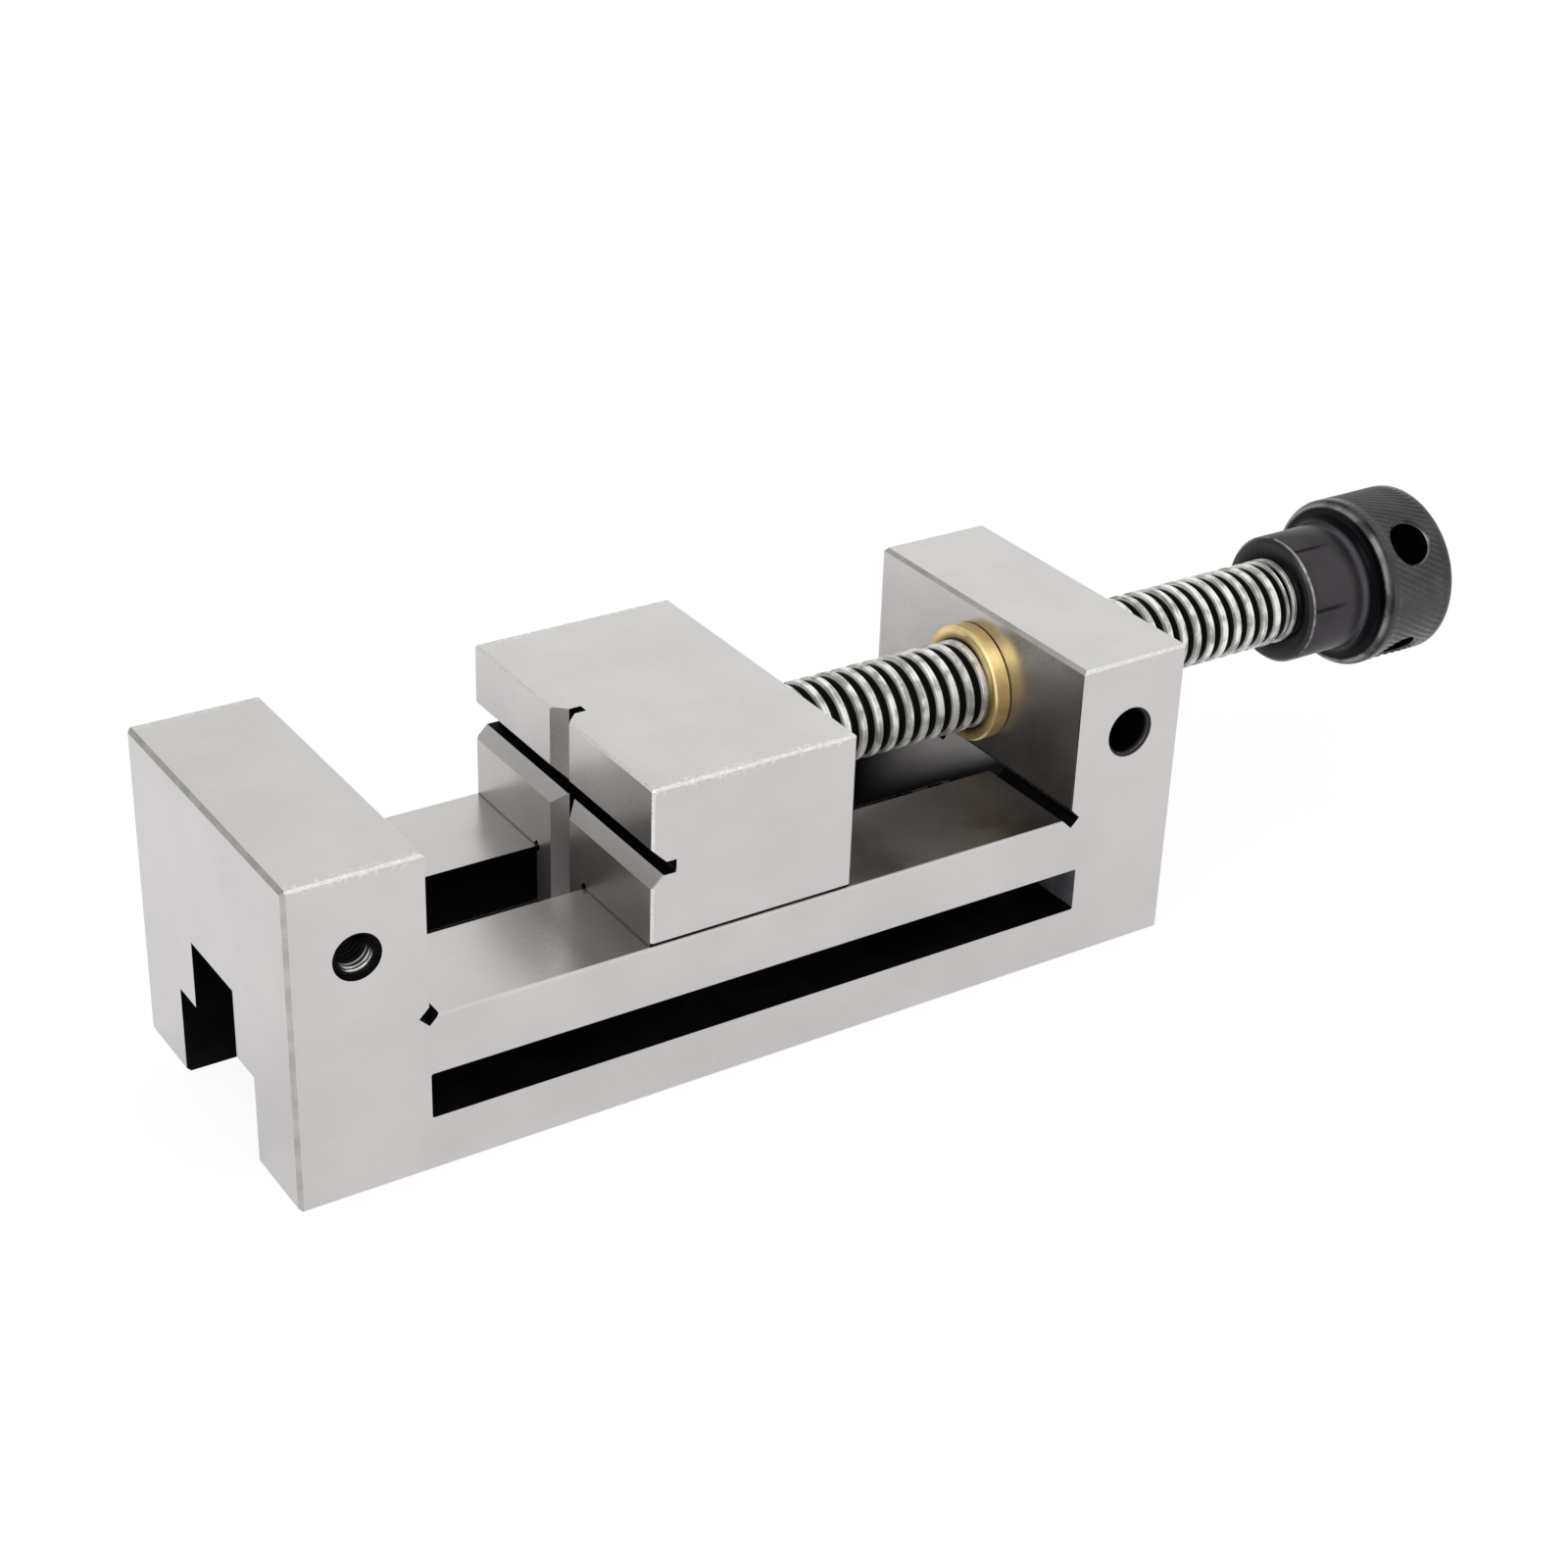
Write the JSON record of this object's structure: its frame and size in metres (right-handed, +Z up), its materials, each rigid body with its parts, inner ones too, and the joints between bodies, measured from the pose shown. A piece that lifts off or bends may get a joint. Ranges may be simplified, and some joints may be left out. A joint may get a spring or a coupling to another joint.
{
  "type": "toolmakers vise",
  "caption": "Ground steel screw vise with a fixed jaw, a sliding jaw with crossed V grooves, a trapezoidal lead screw in a flanged brass nut and a knurled knob drilled for a tommy bar.",
  "frame": {"origin": "on the base plane and the centre plane, straight under the working face of the fixed jaw", "axes": "+X along the lead screw from the fixed jaw to the knob, +Z up from the base"},
  "size_m": [0.306, 0.073, 0.0725],
  "materials": {
    "ground_steel": "fine ground, satin",
    "screw_steel": "turned, bright crests and dark roots",
    "nut_brass": "turned, bright",
    "black_oxide": "black oxide, satin",
    "dowel_steel": "ground"
  },
  "bodies": {
    "body": {"vise_body": "ground_steel", "lead_nut": "nut_brass", "nut_lock_screw": "black_oxide"},
    "jaw": {"moving_jaw": "ground_steel", "keeper_plate": "ground_steel", "keeper_screw_1": "black_oxide", "keeper_screw_2": "black_oxide", "retaining_pin": "dowel_steel"},
    "screw": {"lead_screw": "screw_steel", "knob": "black_oxide", "knob_pin": "dowel_steel"}
  },
  "joints": [
    {"name": "jaw_slide", "type": "slide", "parent": "body", "child": "jaw", "axis": [1, 0, 0], "range_m": [-0.04798, 0.052]},
    {"name": "screw_turn", "type": "hinge", "parent": "jaw", "child": "screw", "pos_m": [0.2, 0, 0.0525], "axis": [1, 0, 0], "range_deg": [-4319, 4681]}
  ],
  "couplings": [
    {"joint": "screw_turn", "follows": "jaw_slide", "rad_per_m": 1570.8}
  ]
}
